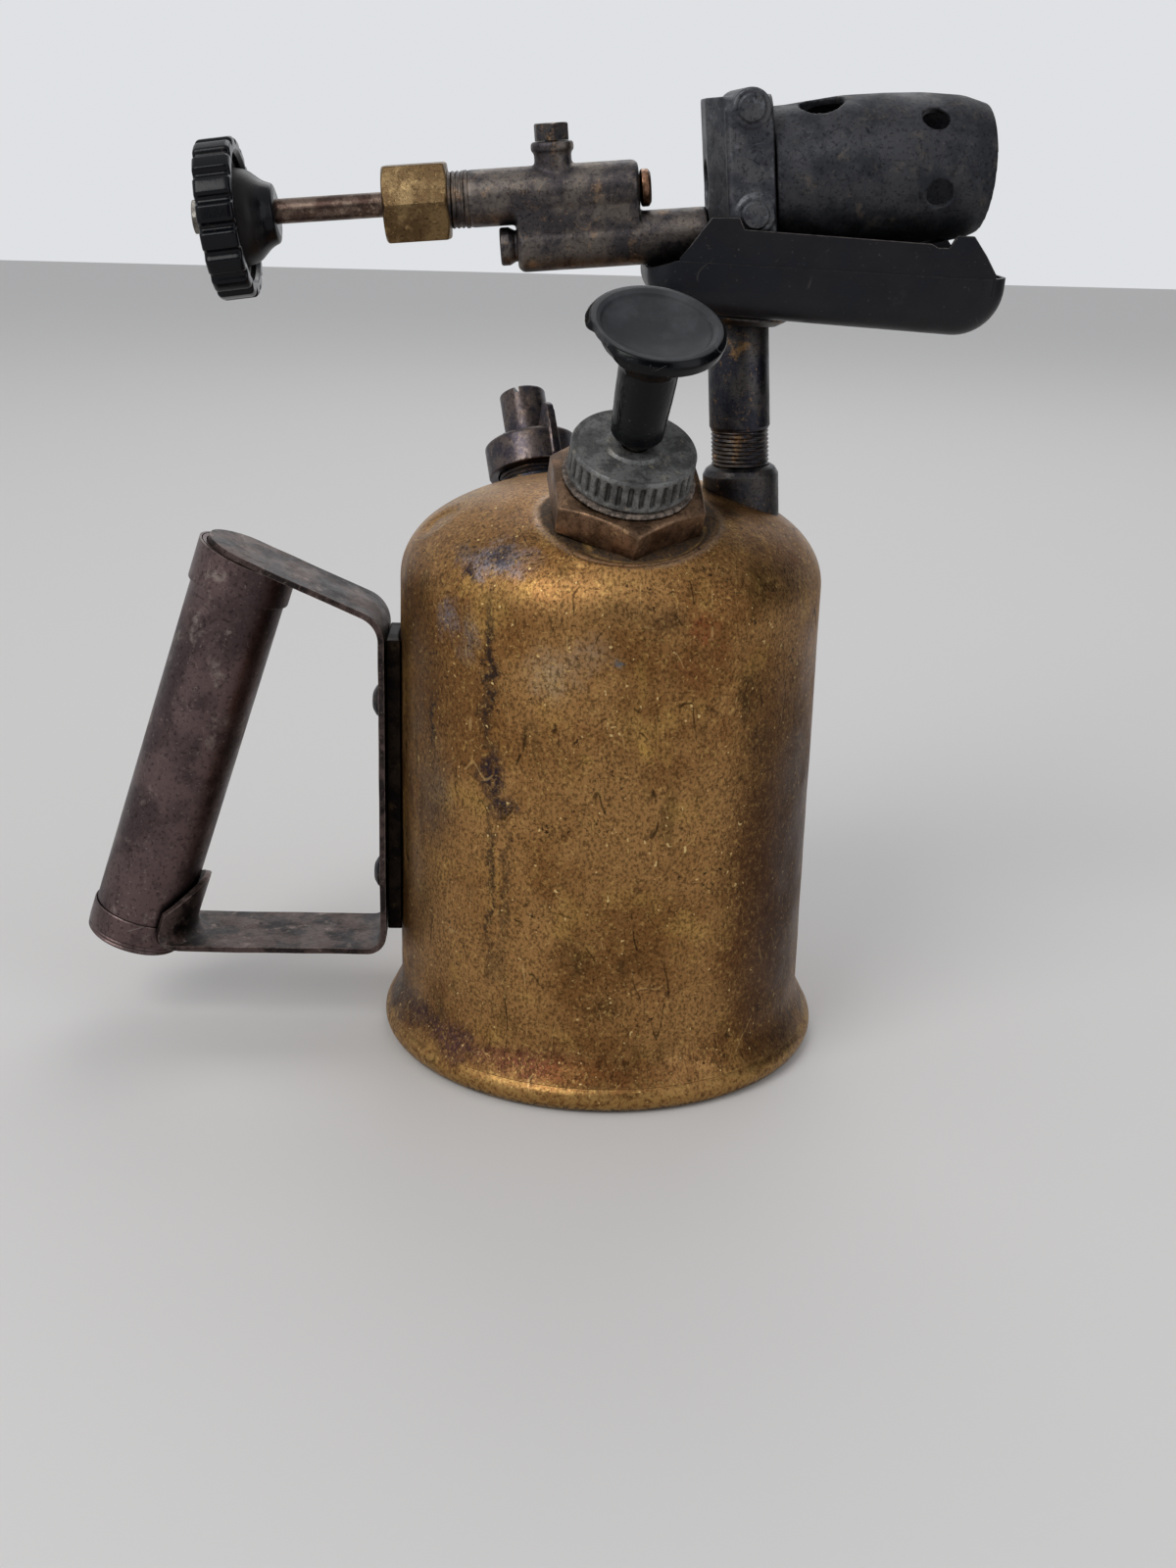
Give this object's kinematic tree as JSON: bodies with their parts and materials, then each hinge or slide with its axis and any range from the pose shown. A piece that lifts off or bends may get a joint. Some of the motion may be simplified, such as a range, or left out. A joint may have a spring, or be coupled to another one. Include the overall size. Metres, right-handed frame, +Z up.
{
  "type": "paraffin blow lamp",
  "caption": "Brass paraffin blow lamp with hand pump, eared filler cap, vertical riser, horizontal burner barrel, priming pan and a side handle.",
  "frame": {"origin": "on the ground, under the middle of the bounding box", "axes": "+Z up, +X along the way the burner points, the handle lies on the -X side"},
  "size_m": [0.2352, 0.1252, 0.2486],
  "materials": {
    "aged_brass": "drawn brass, aged golden brown with dark specks",
    "worn_brass": "turned brass, worn brown",
    "dark_bronze": "cast bronze, nearly black with coppery rubs",
    "brown_bronze": "cast bronze, chocolate brown with violet heat tint",
    "zinc_alloy": "cast zinc, dull grey with brassy wear",
    "copper_brass": "turned, coppery from heat",
    "cast_iron": "cast iron, matt charcoal",
    "black_steel": "pressed steel, worn black paint",
    "brown_steel": "steel, oxidised purple-brown",
    "bare_steel": "bare steel",
    "bakelite": "moulded Bakelite, black satin",
    "leather": "oiled leather",
    "fibre": "vulcanised fibre",
    "graphite_packing": "graphited cord packing"
  },
  "bodies": {
    "lamp_body": {"tank_shell": "aged_brass", "base_plate": "aged_brass", "pump_seat_nut": "worn_brass", "pump_washer": "fibre", "pump_cap": "zinc_alloy", "pump_barrel": "worn_brass", "check_valve_body": "worn_brass", "check_spring": "bare_steel", "filler_neck": "dark_bronze", "riser_socket": "dark_bronze", "riser_tube": "dark_bronze", "pickup_pipe": "worn_brass", "pickup_strainer": "worn_brass", "pan_collar": "dark_bronze", "priming_pan": "black_steel", "burner_block": "cast_iron", "channel_plug_near_low": "cast_iron", "channel_plug_near_high": "cast_iron", "channel_plug_far_low": "cast_iron", "channel_plug_far_high": "cast_iron", "burner_barrel": "cast_iron", "valve_body": "dark_bronze", "jet_nipple": "copper_brass", "cleaning_plug": "dark_bronze", "top_plug": "dark_bronze", "packing_nut": "worn_brass", "gland_ring": "worn_brass", "gland_packing": "graphite_packing", "handle_strap": "black_steel", "handle_pad": "aged_brass", "handle_rivet_low": "dark_bronze", "handle_rivet_high": "dark_bronze", "grip_tube": "brown_steel", "grip_ferrule": "brown_steel", "grip_end_cap": "brown_steel"},
    "pump_plunger": {"pump_knob": "bakelite", "pump_rod": "bare_steel", "piston_washer": "worn_brass", "piston_leather": "leather", "cup_washer": "worn_brass", "cup_nut": "worn_brass"},
    "valve_wheel": {"valve_spindle": "brown_steel", "handwheel": "bakelite", "wheel_nut": "bare_steel"},
    "screw_cap": {"filler_cap": "brown_bronze", "filler_gasket": "leather", "relief_valve_body": "brown_bronze", "relief_spring": "bare_steel"},
    "relief_plunger": {"relief_disc": "leather"},
    "check_plunger": {"check_disc": "leather"}
  },
  "joints": [
    {"name": "pump_stroke", "type": "slide", "parent": "lamp_body", "child": "pump_plunger", "axis": [0.0976, -0.4571, 0.884], "range_m": [0, 0.055]},
    {"name": "valve_turn", "type": "hinge", "parent": "lamp_body", "child": "valve_wheel", "pos_m": [0.05177, 0.00292, 0.2266], "axis": [-0.9962, 0, -0.0872], "range_deg": [0, 720]},
    {"name": "filler_cap_turn", "type": "hinge", "parent": "lamp_body", "child": "screw_cap", "pos_m": [0.00443, 0.03992, 0.14505], "axis": [-0.1677, 0.4772, 0.8627], "range_deg": [0, 720]},
    {"name": "relief_lift", "type": "slide", "parent": "screw_cap", "child": "relief_plunger", "axis": [-0.1677, 0.4772, 0.8627], "range_m": [0, 0.0012], "stiffness_N_per_m": 400, "springref_m": -0.002, "deforming": ["relief_spring"]},
    {"name": "check_lift", "type": "slide", "parent": "lamp_body", "child": "check_plunger", "axis": [-0.0976, 0.4571, -0.884], "range_m": [0, 0.0015], "stiffness_N_per_m": 200, "springref_m": -0.002, "deforming": ["check_spring"]}
  ]
}
